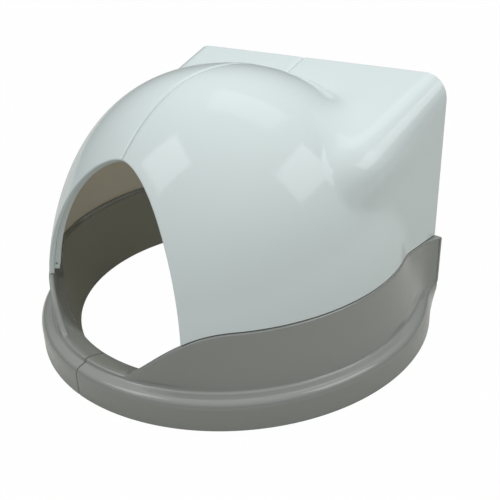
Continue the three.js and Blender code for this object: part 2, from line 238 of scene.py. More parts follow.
def evenly(points, count):
    steps = np.linalg.norm(np.diff(points, axis=0), axis=1)
    along = np.concatenate([[0], np.cumsum(steps)])
    marks = np.linspace(0, along[-1], count + 1)
    return np.stack([np.interp(marks, along, points[:, axis]) for axis in range(3)], axis=1)


def rim_at(angle):
    """The skin's point at each angle from the front, at the height of the dome's rim."""
    height = wall_top(angle) + RIM_GAP
    start = np.stack([0 * angle, 0 * angle, height], axis=-1)
    direction = np.stack([np.sin(angle), -np.cos(angle), 0 * angle], axis=-1)
    return traced(start, direction)


def arch_at(turn):
    """The entry arch on the skin; turn is 0 at the foot and a quarter turn at the top."""
    x = ARCH_HALF * np.cos(turn) ** (2 / ARCH_CURVE)
    z = ARCH_FOOT + (ARCH_TOP - ARCH_FOOT) * np.sin(turn) ** (2 / ARCH_CURVE)
    x = np.maximum(x, HALF_GAP)
    start = np.stack([x, 0 * x - ARCH_START, z], axis=-1)
    direction = np.broadcast_to(np.array([0.0, -1.0, 0.0]), start.shape)
    return traced(start, direction)


turns = np.linspace(0, math.pi / 2, EDGE_SAMPLES)
arch_points = arch_at(turns)
arch_angles = np.arctan2(arch_points[:, 0], -arch_points[:, 1])
above_rim = arch_points[:, 2] > wall_top(arch_angles) + RIM_GAP
arch_points = arch_points[np.argmax(above_rim):]
foot_angle = arch_angles[np.argmax(above_rim)]
arch_points = np.concatenate([rim_at(np.array([foot_angle])), arch_points])

rear_angle = math.pi - math.atan2(BOX_HALF, REAR)
rim_points = rim_at(np.linspace(foot_angle, rear_angle + PAST_REAR, EDGE_SAMPLES))
rim_points = rim_points[rim_points[:, 1] < REAR]

arch_top = arch_points[-1]
start_turn = math.atan2(arch_top[2] - HEART[2], -(arch_top[1] - HEART[1]))
end_turn = math.pi - math.atan2(BOX_TOP - HEART[2], REAR - HEART[1])
seam_turns = np.linspace(start_turn, end_turn, SEAM_SAMPLES)
seam_way = np.stack([0 * seam_turns, -np.cos(seam_turns), np.sin(seam_turns)], axis=-1)
seam_points = traced([HALF_GAP, HEART[1], HEART[2]], seam_way)

rear_start = math.atan2(WALL_TOP + RIM_GAP - HEART[2], BOX_HALF)
rear_turns = np.linspace(rear_start, math.pi / 2, EDGE_SAMPLES)
rear_way = np.stack([np.cos(rear_turns), 0 * rear_turns, np.sin(rear_turns)], axis=-1)
rear_points = traced([HALF_GAP, REAR, HEART[2]], rear_way)
corner = rear_points[0]
rim_points = np.concatenate([rim_points, [corner]])
seam_points[-1] = rear_points[-1]
seam_points[0] = arch_top
print("arch foot at", np.round(arch_points[0], 1), "rear corner at", np.round(corner, 1))

# %% The patch between the edges
rim_edge, seam_edge = evenly(rim_points, HOOD_ALONG), evenly(seam_points, HOOD_ALONG)
arch_edge, rear_edge = evenly(arch_points, HOOD_UP), evenly(rear_points, HOOD_UP)


def patch(bottom, top, front, back):
    along = np.linspace(0, 1, len(bottom))[:, None, None]
    up = np.linspace(0, 1, len(front))[None, :, None]
    rails = mix(bottom[:, None], top[:, None], up) + mix(front[None], back[None], along)
    low = mix(bottom[0], bottom[-1], along)
    high = mix(top[0], top[-1], along)
    return rails - mix(low, high, up)


hood_points = on_hood(patch(rim_edge, seam_edge, arch_edge, rear_edge))
for row, sink in ((-1, GROOVE), (-2, GROOVE * GROOVE_EASE)):
    way = hood_points[:, row] - HEART
    hood_points[:, row] -= way / np.linalg.norm(way, axis=-1, keepdims=True) * sink
hood_points[:, -1, 0] = HALF_GAP
hood_points[-1, :, 1] = REAR
print("hood patch", hood_points.shape, "highest", round(hood_points[..., 2].max(), 1))

# %% [markdown]
# ## From a flat grid to a moulding
#
# Every shell starts as a flat grid, and its corners are carried to the worked-out places. The
# edges at the joint, the arch and the rear are then extruded inward as flanges, the folds are
# bevelled so that they catch the light, and solidify gives the sheet its wall. The left half is
# the same sheet mirrored before it gets its wall, with its faces turned back to look outward.
# At the end the mesh is trimmed to the rear plane, the floor and the gap on the middle plane.

# %% Helpers for sheets
SHARP_ANGLE = math.radians(40)  # folds steeper than this keep a crisp edge


def to_frame(points, side):
    return np.asarray(points) * [side * MM, MM, MM] + np.array(ring_middle)


def sheet_from(points, side):
    """A grid whose corners lie at points[along, up]."""
    along, up = points.shape[0] - 1, points.shape[1] - 1
    placed = to_frame(points, side)
    bm = bmesh.new()
    bmesh.ops.create_grid(bm, x_segments=along, y_segments=up, size=0.5)
    rail = bm.verts.layers.int.new("rail")
    rung = bm.verts.layers.int.new("rung")
    for vert in bm.verts:
        i, j = round((vert.co.x + 0.5) * along), round((vert.co.y + 0.5) * up)
        vert[rail], vert[rung] = i, j
        vert.co = placed[i, j]
    if side < 0:
        bmesh.ops.reverse_faces(bm, faces=bm.faces[:])
    bm.normal_update()
    return bm, rail, rung


def edges_between(bm, chosen):
    chosen = set(chosen)
    return [edge for edge in bm.edges if edge.verts[0] in chosen and edge.verts[1] in chosen]


def trim_to_frame(mesh):
    """Keep the mesh inside its three planes, then close up slivers that this leaves."""
    side = 1 if sum(vert.co.x for vert in mesh.vertices) > 0 else -1
    for vert in mesh.vertices:
        vert.co.y = min(vert.co.y, ring_middle.y + REAR * MM)
        vert.co.z = max(vert.co.z, 0)
        vert.co.x = side * max(side * vert.co.x, HALF_GAP * MM)
    bm = bmesh.new()
    bm.from_mesh(mesh)
    bmesh.ops.dissolve_degenerate(bm, edges=bm.edges[:], dist=WELD * MM)
    slivers = {face for edge in bm.edges if len(edge.link_faces) > 2 for face in edge.link_faces}
    slivers = [face for face in slivers if face.calc_area() < (WELD * MM) ** 2]
    bmesh.ops.delete(bm, geom=slivers, context="FACES")
    bm.to_mesh(mesh)
    bm.free()


def shell_from(bm, name, materials, even=True):
    """The sheet as a finished object with a wall, its inside in the second material."""
    sheet = bpy.data.meshes.new(name)
    bm.to_mesh(sheet)
    bm.free()
    piece = bpy.data.objects.new(name, sheet)
    bpy.context.scene.collection.objects.link(piece)
    wall = piece.modifiers.new("wall", "SOLIDIFY")
    wall.thickness = THICKNESS * MM
    wall.offset = -1
    wall.use_even_offset = even
    wall.use_quality_normals = True
    wall.material_offset = len(materials) - 1
    for material in materials:
        sheet.materials.append(material)
    solid = piece.evaluated_get(bpy.context.evaluated_depsgraph_get())
    piece.data = bpy.data.meshes.new_from_object(solid)
    piece.modifiers.clear()
    bpy.data.meshes.remove(sheet)
    piece.data.name = name
    trim_to_frame(piece.data)
    piece.data.polygons.foreach_set("use_smooth", [True] * len(piece.data.polygons))
    piece.data.set_sharp_from_angle(angle=SHARP_ANGLE)
    print(name, "triangles", sum(len(p.vertices) - 2 for p in piece.data.polygons))
    return piece


# %% [markdown]
# ## The plastics
#
# The dome is a white gloss plastic with a cool cast, the wall a mid grey one. Both come out of
# polished moulds, so the surface is smooth with a faint long wave that makes reflections swim,
# a very fine grain, and small changes of gloss where it has been handled. One node group makes
# those effects for every finish, and each material keeps its own shader.

# %% Plastic surface group
CLOUD_SCALE, SMEAR_SCALE = 6, 38  # broad changes of shade, and smaller ones of gloss
WAVE_SCALE, GRAIN_SCALE = 9, 900
GRAIN_HEIGHT = 0.004  # how high the grain stands beside the long wave


def build_surface_group():
    group = bpy.data.node_groups.new("moulded_surface", "ShaderNodeTree")
    face = group.interface
    for name, kind, default in (
        ("Color", "NodeSocketColor", (0.8, 0.8, 0.8, 1)),
        ("Cast", "NodeSocketColor", (0.7, 0.7, 0.7, 1)),
        ("Cast Amount", "NodeSocketFloat", 0.1),
        ("Roughness", "NodeSocketFloat", 0.25),
        ("Handling", "NodeSocketFloat", 0.05),
        ("Wave", "NodeSocketFloat", 1.0),
        ("Grain", "NodeSocketFloat", 1.0),
    ):
        socket = face.new_socket(name, in_out="INPUT", socket_type=kind)
        socket.default_value = default
    face.new_socket("Color", in_out="OUTPUT", socket_type="NodeSocketColor")
    face.new_socket("Roughness", in_out="OUTPUT", socket_type="NodeSocketFloat")
    face.new_socket("Height", in_out="OUTPUT", socket_type="NodeSocketFloat")
    nodes, links = group.nodes, group.links
    given = nodes.new("NodeGroupInput")
    result = nodes.new("NodeGroupOutput")
    place = nodes.new("ShaderNodeTexCoord")

    def noise(scale, detail, roughness=0.5):
        node = nodes.new("ShaderNodeTexNoise")
        node.inputs["Scale"].default_value = scale
        node.inputs["Detail"].default_value = detail
        node.inputs["Roughness"].default_value = roughness
        links.new(place.outputs["Object"], node.inputs["Vector"])
        return node.outputs["Fac"]

    def sum_of(operation, first, second, third=None):
        node = nodes.new("ShaderNodeMath")
        node.operation = operation
        for socket, value in zip(node.inputs, (first, second, third)):
            if value is None:
                continue
            if isinstance(value, (int, float)):
                socket.default_value = value
            else:
                links.new(value, socket)
        return node.outputs[0]

    cloud = noise(CLOUD_SCALE, 3)
    centred_cloud = sum_of("SUBTRACT", cloud, 0.5)
    blend = nodes.new("ShaderNodeMix")
    blend.data_type = "RGBA"
    links.new(sum_of("MULTIPLY", cloud, given.outputs["Cast Amount"]), blend.inputs["Factor"])
    links.new(given.outputs["Color"], blend.inputs["A"])
    links.new(given.outputs["Cast"], blend.inputs["B"])
    links.new(blend.outputs["Result"], result.inputs["Color"])

    smears = sum_of("SUBTRACT", noise(SMEAR_SCALE, 4, 0.6), 0.5)
    handled = sum_of("ADD", smears, centred_cloud)
    rough = sum_of("MULTIPLY_ADD", handled, given.outputs["Handling"], given.outputs["Roughness"])
    links.new(rough, result.inputs["Roughness"])

    wave = sum_of("MULTIPLY", noise(WAVE_SCALE, 1), given.outputs["Wave"])
    grain = sum_of("MULTIPLY", noise(GRAIN_SCALE, 2), given.outputs["Grain"])
    links.new(sum_of("MULTIPLY_ADD", grain, GRAIN_HEIGHT, wave), result.inputs["Height"])
    return group


moulded_surface = build_surface_group()
group_sockets = moulded_surface.interface.items_tree
print("surface group inputs", [item.name for item in group_sockets if item.in_out == "INPUT"])

# %% Plastic materials
CAST_AMOUNT = 0.35
BUMP_STRENGTH, BUMP_DISTANCE = 0.25, 0.0012
PLASTIC_IOR, COAT_ROUGHNESS = 1.5, 0.05


def linear(red, green, blue):
    """A colour as it is written, from 0 to 255, as the linear values a shader wants."""
    values = [value / 255 for value in (red, green, blue)]
    return [v / 12.92 if v <= 0.04045 else ((v + 0.055) / 1.055) ** 2.4 for v in values] + [1.0]


def plastic(name, colour, cast, roughness, handling=0.06, wave=1.0, grain=1.0, coat=0.0):
    material = bpy.data.materials.new(name)
    material.use_nodes = True
    nodes, links = material.node_tree.nodes, material.node_tree.links
    shader = nodes["Principled BSDF"]
    surface = nodes.new("ShaderNodeGroup")
    surface.node_tree = moulded_surface
    surface.inputs["Color"].default_value = linear(*colour)
    surface.inputs["Cast"].default_value = linear(*cast)
    surface.inputs["Cast Amount"].default_value = CAST_AMOUNT
    surface.inputs["Roughness"].default_value = roughness
    surface.inputs["Handling"].default_value = handling
    surface.inputs["Wave"].default_value = wave
    surface.inputs["Grain"].default_value = grain
    bump = nodes.new("ShaderNodeBump")
    bump.inputs["Strength"].default_value = BUMP_STRENGTH
    bump.inputs["Distance"].default_value = BUMP_DISTANCE
    links.new(surface.outputs["Color"], shader.inputs["Base Color"])
    links.new(surface.outputs["Roughness"], shader.inputs["Roughness"])
    links.new(surface.outputs["Height"], bump.inputs["Height"])
    links.new(bump.outputs["Normal"], shader.inputs["Normal"])
    shader.inputs["IOR"].default_value = PLASTIC_IOR
    shader.inputs["Coat Weight"].default_value = coat
    shader.inputs["Coat Roughness"].default_value = COAT_ROUGHNESS
    material.diffuse_color = linear(*colour)
    print("material", name, "colour", colour, "roughness", roughness)
    return material


dome_white = plastic("dome_white", (212, 221, 221), (205, 215, 216), 0.10, handling=0.04)
# The dome's inside is the same white plastic with painted light: its warmer, lighter colour stands
# in for the warm light that falls inside the hood.
dome_inside_painted_light = plastic("dome_inside_painted_light", (226, 219, 202), (217, 209, 191), 0.5, wave=0.3, grain=3)
wall_grey = plastic("wall_grey", (136, 138, 134), (130, 132, 128), 0.07, handling=0.05, coat=0.6)
# The wall's inside is the same grey plastic with painted light: a lighter, warmer colour stands in
# for the light that falls inside the ring.
wall_inside_painted_light = plastic("wall_inside_painted_light", (150, 151, 138), (141, 142, 128), 0.5, wave=0.3, grain=3)
rivet_white = plastic("rivet_white", (226, 226, 220), (214, 214, 208), 0.5, grain=4)
rivet_grey = plastic("rivet_grey", (112, 115, 112), (104, 107, 104), 0.5, grain=4)

# %% [markdown]
# ## The two halves of the dome
#
# The seam flange is 16 mm deep and the edge of the arch is turned in, deepest at its feet. The
# rear edge has a narrow return lip in the rear plane. All three are one extruded strip, so their
# corners close by themselves. A small round hole goes through the flange near each foot of the
# arch. A hole that small is easiest to cut at the end, with a cylinder and a boolean.

# %% Dome halves
SEAM_DEPTH, REAR_DEPTH = 16.0, 12.0
ARCH_DEPTH_TOP, ARCH_DEPTH_FOOT = 7.0, 13.0
ARCH_DEEPEN = 0.8  # share of the arch's height over which its flange gets shallower
CORNER_STEPS, APEX_STEPS = 10, 12  # grid steps over which one flange turns into the next
FLANGE_STEPS = ((0.45, 0.0), (0.5, 1.0), (1.0, 1.0))  # share of the depth, step aside in mm
FOOT_LIFT, FOOT_STEPS = 6.0, 14  # the arch flange's foot ends this much higher than the skin
HOLE_RADIUS, HOLE_HEIGHT = 1.5, 98.0
HOLE_DEPTH = 0.66  # share of the flange's depth at which the hole is cut


def flange_step(i, j, normal, side):
    """Way inward to the flange's edge, and the way off the opening, at a place on the border."""
    inward = -normal
    if i == HOOD_ALONG:
        inward.y = 0
        depth = mix(REAR_DEPTH, SEAM_DEPTH, ease(j, HOOD_UP - CORNER_STEPS, HOOD_UP))
        return inward.normalized() * depth, Vector((0, 0, 0))
    if j == HOOD_UP:
        inward.x = 0
        depth = mix(ARCH_DEPTH_TOP, SEAM_DEPTH, ease(i, 0, CORNER_STEPS))
        return inward.normalized() * depth, Vector((0, 0, 0))
    near_top = ease(j, HOOD_UP - APEX_STEPS, HOOD_UP)
    inward.x *= 1 - near_top
    depth = mix(ARCH_DEPTH_FOOT, ARCH_DEPTH_TOP, ease(j, 0, HOOD_UP * ARCH_DEEPEN))
    low, high = arch_edge[max(j - 1, 0)], arch_edge[min(j + 1, HOOD_UP)]
    along = Vector(high - low)
    along.x *= side
    aside = along.cross(normal) * side
    aside = aside.normalized() * (1 - near_top)
    return inward.normalized() * depth, aside


def drill(piece, place, axis):
    """Cut the small round hole through a flange."""
    bm = bmesh.new()
    bmesh.ops.create_cone(
        bm, cap_ends=True, segments=24, radius1=HOLE_RADIUS * MM, radius2=HOLE_RADIUS * MM,
        depth=4 * THICKNESS * MM,
    )
    turn = axis.to_track_quat("Z", "Y").to_matrix().to_4x4()
    bmesh.ops.transform(bm, matrix=Matrix.Translation(place) @ turn, verts=bm.verts[:])
    mesh = bpy.data.meshes.new("drill")
    bm.to_mesh(mesh)
    bm.free()
    cutter = bpy.data.objects.new("drill", mesh)
    bpy.context.scene.collection.objects.link(cutter)
    cut = piece.modifiers.new("hole", "BOOLEAN")
    cut.object, cut.operation, cut.solver = cutter, "DIFFERENCE", "EXACT"
    solid = piece.evaluated_get(bpy.context.evaluated_depsgraph_get())
    before, piece_mesh = piece.data, bpy.data.meshes.new_from_object(solid)
    piece.modifiers.clear()
    piece.data = piece_mesh
    bpy.data.meshes.remove(before)
    bpy.data.objects.remove(cutter)
    bpy.data.meshes.remove(mesh)
    piece.data.name = piece.name
    print("hole drilled in", piece.name)


def dome_half(side, name):
    bm, rail, rung = sheet_from(hood_points, side)
    fold = [v for v in bm.verts if v[rail] in (0, HOOD_ALONG) or v[rung] == HOOD_UP]
    normals = {(v[rail], v[rung]): v.normal.copy() for v in fold}
    hole_rung = int(np.argmin(np.abs(arch_edge[:, 2] - HOLE_HEIGHT)))
    hole_step, hole_axis = flange_step(0, hole_rung, normals[(0, hole_rung)], side)
    hole_place = Vector(to_frame(hood_points[0, hole_rung], side)) + hole_step * HOLE_DEPTH * MM
    edges = [
        edge
        for edge in edges_between(bm, fold)
        if edge.is_boundary and not all(v[rung] == 0 for v in edge.verts)
    ]
    strip = edges
    for number, (share, aside) in enumerate(FLANGE_STEPS):
        extruded = bmesh.ops.extrude_edge_only(bm, edges=strip)["geom"]
        strip = [item for item in extruded if isinstance(item, bmesh.types.BMEdge)]
        strip = [edge for edge in strip if edge.is_boundary]
        for vert in {vert for edge in strip for vert in edge.verts}:
            i, j = vert[rail], vert[rung]
            step, along_skin = flange_step(i, j, normals[(i, j)], side)
            place = Vector(to_frame(hood_points[i, j], side))
            vert.co = place + step * share * MM + along_skin * aside * MM
            if i == 0 and number > 0:
                vert.co.z += FOOT_LIFT * (1 - ease(j, 0, FOOT_STEPS)) * MM
            vert.co.y = min(vert.co.y, ring_middle.y + REAR * MM)
    folds = [edge for edge in edges if edge.is_valid]
    bmesh.ops.bevel(
        bm, geom=folds, offset=FOLD_ROUND * MM, offset_type="OFFSET", segments=3, profile=0.5,
        affect="EDGES", material=-1, clamp_overlap=True, loop_slide=True,
    )
    bm.normal_update()
    # The inside of the shell takes the inside material, whose colour holds painted warm light.
    piece = shell_from(bm, name, [dome_white, dome_inside_painted_light])
    drill(piece, hole_place, hole_axis)
    return piece


for side, hand in ((1, "right"), (-1, "left")):
    piece = dome_half(side, f"dome_skin_{hand}")
    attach(piece, "dome")
    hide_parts(f"dome_{hand}")

# %% [markdown]
# ## The section of the ring and wall
#
# A knife through the wall at any angle shows the same profile: up the leaning inner face, over
# the top, down the outer face, out along the bumper's top, round its roll and down to the floor.
# Its corners are true arcs, so every profile has the same number of points and they join into a
# clean grid. Behind the dome's circle the top edge is drawn out to the wing that stands beside
# the box.

# %% Wall section
RING_RADIUS, RING_DRAFT, RING_TOP, ROLL = 245.0, 1.5, 31.8, 10.0
WALL_FOOT = 228.0
RING_CROWN = 2.6  # the bumper's top is this much higher at the wall
SILL_INNER, SILL_INNER_RADIUS = 33.0, 206.0
INNER_FOOT_RADIUS, INNER_FOOT_HEIGHT = 199.0, 9.0
TOP_WIDTH = 8.5
LEDGE = 5.5  # flat width behind the top's outer edge
LIP_PROUD = 0.9
WING_FLARE, WING_FLARE_LENGTH, WING_LOW = 8.0, 34.0, 38.0
WING_SOFT_LOW, WING_SOFT_HIGH = 30.0, 8.0  # how widely the ring blends into the wing
WING_SOFT_FROM, WING_SOFT_TO = 55.0, 93.0  # the heights between which that changes
WING_GUESS, WING_FURTHEST, WING_PASSES = 230.0, 300.0, 24
LEAST_SINE = 0.3  # keeps the division safe where a profile faces almost straight back
LEAST_COSINE = 0.1  # there is a wing only where a profile faces further back than this
# radius of each rounded corner, and steps in each arc and in each straight before it
CORNER_RADII = (2.5, 2.0, 3.0, 4.0, ROLL)
ARC_STEPS = (5, 3, 6, 6, 12)
RUN_STEPS = (14, 4, 2, 22, 5, 8)


def dome_radius(angle, height):
    share = np.clip((height - DOME_BASE) / (DOME_TOP - DOME_BASE), 0, 1)
    side, front = dome_row(share)
    reach = np.where(np.cos(angle) > 0, front, side)
    return 1 / np.hypot(np.sin(angle) / side, np.cos(angle) / reach)


def wing_radius(angle, height):
    """Distance from the ring's middle to the wing's panel."""
    ring_end = math.sqrt(RING_RADIUS**2 - REAR**2) + 1
    outermost = BOX_HALF + LIP_PROUD + WING_FLARE
    heights = [2, WING_LOW / 2, WING_LOW]
    limit = np.interp(height, heights, [ring_end, (ring_end + outermost) / 2, outermost])
    sine, cosine = np.sin(angle), -np.cos(angle)
    radius = np.full(np.shape(angle * height), WING_GUESS)
    for _ in range(WING_PASSES):
        y = radius * cosine
        share = np.clip((y - REAR + WING_FLARE_LENGTH) / WING_FLARE_LENGTH, 0, 1.2)
        x = box_half(y) + LIP_PROUD + WING_FLARE * share**2
        radius = np.minimum(np.minimum(x, limit) / np.maximum(sine, LEAST_SINE), WING_FURTHEST)
    return np.where(cosine > LEAST_COSINE, radius, 0)


def rounded(corners, radii, arc_steps, run_steps):
    """Points along a line of corners, each inner corner replaced by an arc."""
    points, start = [], corners[0]
    for number, (radius, arcs) in enumerate(zip(radii, arc_steps), start=1):
        before, at, after = corners[number - 1], corners[number], corners[number + 1]
        back, on = before - at, after - at
        back_length = np.linalg.norm(back, axis=-1, keepdims=True)
        on_length = np.linalg.norm(on, axis=-1, keepdims=True)
        back, on = back / back_length, on / on_length
        half = np.arccos(np.clip((back * on).sum(-1, keepdims=True), -1, 1)) / 2
        tangent = radius / np.tan(np.maximum(half, 0.1))
        tangent = np.minimum(tangent, 0.48 * np.minimum(back_length, on_length))
        enter, leave = at + back * tangent, at + on * tangent
        runs = run_steps[number - 1]
        points += [mix(start, enter, k / runs) for k in range(runs)]
        weight = np.sin(half)
        for k in range(arcs):
            t = k / arcs
            share = ((1 - t) ** 2, 2 * weight * t * (1 - t), t**2)
            total = share[0] + share[1] + share[2]
            points.append((enter * share[0] + at * share[1] + leave * share[2]) / total)
        start = leave
    points += [mix(start, corners[-1], k / run_steps[-1]) for k in range(run_steps[-1] + 1)]
    return np.stack(points, axis=-2)


TOP_START = RUN_STEPS[0] + ARC_STEPS[0]
LIP_START = TOP_START + RUN_STEPS[1] + ARC_STEPS[1] + RUN_STEPS[2]
FACE_START = LIP_START + ARC_STEPS[2]
print("rows of the profile: top", TOP_START, "lip", LIP_START, "face", FACE_START)


def wall_section(angle):
    """[radius, height] of every point of the profile at each angle."""
    top = wall_top(angle)
    inner = sweep(angle, *INNER_SWEEP)
    lip = dome_radius(angle, top) + LIP_PROUD
    foot = np.maximum(WALL_FOOT, lip + RING_DRAFT)
    flat = np.ones_like(angle)
    corners = [
        (INNER_FOOT_RADIUS * flat, INNER_FOOT_HEIGHT * flat),
        (mix(SILL_INNER_RADIUS, lip - TOP_WIDTH, inner), mix(SILL_INNER, WALL_TOP, inner)),
        (lip - LEDGE, top),
        (lip, top),
        (foot, (RING_TOP + RING_CROWN) * flat),
        ((RING_RADIUS - RING_DRAFT) * flat, RING_TOP * flat),
        (RING_RADIUS * flat, 0 * flat),
    ]
    corners = [np.stack(corner, axis=-1) for corner in corners]
    section = rounded(corners, CORNER_RADII, ARC_STEPS, RUN_STEPS)
    radius, height = section[..., 0], section[..., 1]
    wing = wing_radius(angle[..., None], height)
    softness = ease(height, WING_SOFT_FROM, WING_SOFT_TO)
    drawn = soft_max(radius, wing, mix(WING_SOFT_LOW, WING_SOFT_HIGH, softness))
    shift = soft_max(lip, wing_radius(angle, top), WING_SOFT_HIGH) - lip
    row = np.arange(section.shape[-2])
    lip_rows = (row >= LIP_START) & (row < FACE_START)
    top_rows = (row >= TOP_START) & (row < LIP_START)
    share = np.clip((row - TOP_START) / (LIP_START - TOP_START), 0, 1)
    drawn = np.where(lip_rows, radius + shift[..., None], drawn)
    drawn = np.where(top_rows, radius + shift[..., None] * share, drawn)
    drawn = np.where(row < TOP_START, radius, drawn)
    return np.stack([drawn, height], axis=-1)


# %% Wall patch
WALL_ALONG = 230
JOINT_SINK = 1.5  # how deep the wall's skin dips at the joint of the two halves
JOINT_COLUMN = 0.35  # width of the column beside the joint, as a share of the others
END_GUESS, END_PASSES = 2.2, 60  # search for the angle at which each row meets the rear plane
WALL_ROWS = wall_section(np.zeros(1)).shape[-2]


def rows_own(angle):
    """The profile's point of each row, where each row has its own angle."""
    section = wall_section(angle)
    row = np.arange(WALL_ROWS)
    return section[..., row, row, :]


end_angle = np.full(WALL_ROWS, END_GUESS)
for _ in range(END_PASSES):
    radius = rows_own(end_angle)[:, 0]
    end_angle = math.pi - np.arccos(np.clip(REAR / radius, -1, 1))
start_radius = rows_own(np.full(WALL_ROWS, 0.001))[:, 0]
start_angle = np.arcsin(HALF_GAP / start_radius)
shares = np.linspace(0, 1, WALL_ALONG + 1)[:, None]
shares[1] *= JOINT_COLUMN
wall_angles = mix(start_angle, end_angle, shares)
own = rows_own(wall_angles)
wall_points = np.stack(
    [own[..., 0] * np.sin(wall_angles), -own[..., 0] * np.cos(wall_angles), own[..., 1]], axis=-1
)
section_way = np.gradient(wall_points[0], axis=0)
outward = np.stack([0 * section_way[:, 0], section_way[:, 2], -section_way[:, 1]], axis=-1)
wall_points[0] -= outward / np.linalg.norm(outward, axis=-1, keepdims=True) * JOINT_SINK
wall_points[0, :, 2] = np.maximum(wall_points[0, :, 2], 0)
wall_points[0, :, 0] = HALF_GAP
wall_points[-1, :, 1] = REAR
print("wall patch", wall_points.shape, "widest", round(wall_points[..., 0].max(), 1))

# %% [markdown]
# ## The two halves of the side wall
#
# The sheet's front end is closed by a web on the middle plane, where the other half meets it, and
# its rear end by a web in the rear plane. Where the bumper runs into the wing the sheet is relaxed
# a little, which gives the sweeping hollow that a mould maker would polish there.

# %% Side wall halves
HOLLOW_FROM = int(WALL_ALONG * 0.8)  # the column of the grid where the hollow starts
HOLLOW_ROWS = range(FACE_START + 6, WALL_ROWS - 5)
HOLLOW_PASSES = 36
PROBE_COLUMN, PROBE_ROW = 60, WALL_ROWS - 4  # a corner whose normal has to look outward


def wall_half(side, name):
    bm, rail, rung = sheet_from(wall_points, side)
    hollow = [
        v for v in bm.verts if HOLLOW_FROM < v[rail] < WALL_ALONG and v[rung] in HOLLOW_ROWS
    ]
    for _ in range(HOLLOW_PASSES):
        bmesh.ops.smooth_vert(
            bm, verts=hollow, factor=0.5, use_axis_x=True, use_axis_y=True, use_axis_z=True,
        )
    folds = []
    for end in (0, WALL_ALONG):
        chain = [v for v in bm.verts if v[rail] == end]
        chain.sort(key=lambda v: v[rung])
        edges = edges_between(bm, chain)
        folds += edges
        closing = bm.edges.new((chain[0], chain[-1]))
        bmesh.ops.contextual_create(bm, geom=edges + [closing])
    # The inner face takes the inside material, whose colour holds painted light.
    for face in bm.faces:
        if max(vert[rung] for vert in face.verts) < TOP_START:
            face.material_index = 1
    bmesh.ops.recalc_face_normals(bm, faces=bm.faces[:])
    probe = next(v for v in bm.verts if v[rail] == PROBE_COLUMN and v[rung] == PROBE_ROW)
    if probe.normal.x * side < 0:
        bmesh.ops.reverse_faces(bm, faces=bm.faces[:])
    bmesh.ops.bevel(
        bm, geom=[e for e in folds if e.is_valid], offset=FOLD_ROUND * MM, offset_type="OFFSET",
        segments=3, profile=0.5, affect="EDGES", material=-1, clamp_overlap=True, loop_slide=True,
    )
    bm.normal_update()
    return shell_from(bm, name, [wall_grey, wall_inside_painted_light], even=False)


for side, hand in ((1, "right"), (-1, "left")):
    piece = wall_half(side, f"wall_skin_{hand}")
    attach(piece, "sidewalls")
    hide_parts(f"sidewall_{hand}")

# %% [markdown]
# ## The rib that keeps the dome in place
#
# A low rib stands on the wall's top just inside the dome's rim. It locates the dome when it is
# set down and hides the gap between the two. It follows the rim's own line, moved inward.

# %% Rib
RIB_FROM, RIB_LOW, RIB_HIGH = 42, 95.0, 101.5
RIB_ROWS = 3
RIB_CLEAR, RIB_REAR_CLEAR = 0.4, 0.6  # room between the rib and the dome's rim and rear lip


def rib_half(side, name):
    line = rim_points[::3]
    way = np.gradient(line, axis=0)
    inward = np.stack([-way[:, 1], way[:, 0], 0 * way[:, 0]], axis=-1)
    inward /= np.linalg.norm(inward, axis=-1, keepdims=True)
    line = line + inward * (THICKNESS + RIB_CLEAR)
    angle = np.degrees(np.arctan2(line[:, 0], -line[:, 1]))
    line = line[(angle > RIB_FROM) & (line[:, 1] < REAR - THICKNESS - RIB_REAR_CLEAR)]
    levels = np.linspace(RIB_LOW, RIB_HIGH, RIB_ROWS + 1)
    points = np.repeat(line[:, None], RIB_ROWS + 1, axis=1)
    points[..., 2] = levels
    bm, _, _ = sheet_from(points, side)
    return shell_from(bm, name, [wall_grey])


for side, hand in ((1, "right"), (-1, "left")):
    piece = rib_half(side, f"wall_rib_{hand}")
    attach(piece, "sidewalls")

# %% [markdown]
# ## Rivets
#
# Push rivets hold the flanges together. Each is a turned part: a low domed head, a shank, and a
# barbed tip. A few points are spun round the rivet's own line and merged, and the place comes
# from the CAD rivet's box.

# %% Rivets
GRIP = 3.45  # from the middle plane to the underside of the rivet's head


def rivet(node, material):
    low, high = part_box(node)
    middle = (low + high) / 2
    head, grip = (high.y - low.y) / 2, GRIP * MM
    profile = [
        (0.0, high.x), (head * 0.45, high.x - 0.15 * MM), (head * 0.8, high.x - 0.8 * MM),
        (head, high.x - 1.7 * MM), (head, grip), (2.6 * MM, grip), (2.6 * MM, -grip),
        (3.6 * MM, -grip - 0.1 * MM), (3.4 * MM, -grip - 1.0 * MM), (1.7 * MM, low.x + 0.3 * MM),
        (1.2 * MM, low.x), (0.0, low.x),
    ]
    bm = bmesh.new()
    verts = [bm.verts.new((along, radius, 0)) for radius, along in profile]
    edges = [bm.edges.new(pair) for pair in zip(verts, verts[1:])]
    bmesh.ops.spin(
        bm, geom=verts + edges, cent=(0, 0, 0), axis=(1, 0, 0), angle=math.tau, steps=32,
        use_merge=True,
    )
    bmesh.ops.remove_doubles(bm, verts=bm.verts[:], dist=1e-6)
    bmesh.ops.recalc_face_normals(bm, faces=bm.faces[:])
    bmesh.ops.translate(bm, verts=bm.verts[:], vec=(0, middle.y, middle.z))
    mesh = bpy.data.meshes.new(f"{node}_turned")
    bm.to_mesh(mesh)
    bm.free()
    mesh.materials.append(material)
    mesh.polygons.foreach_set("use_smooth", [True] * len(mesh.polygons))
    mesh.set_sharp_from_angle(angle=math.radians(35))
    piece = bpy.data.objects.new(f"{node}_turned", mesh)
    bpy.context.scene.collection.objects.link(piece)
    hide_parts(node)
    print(node, "turned, head", round(head * 2 / MM, 1), "mm across")
    return piece


for node in sorted(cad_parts):
    if node.startswith("dome_rivet"):
        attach(rivet(node, rivet_white), "dome")
    elif node.startswith("sill_rivet"):
        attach(rivet(node, rivet_grey), "sidewalls")

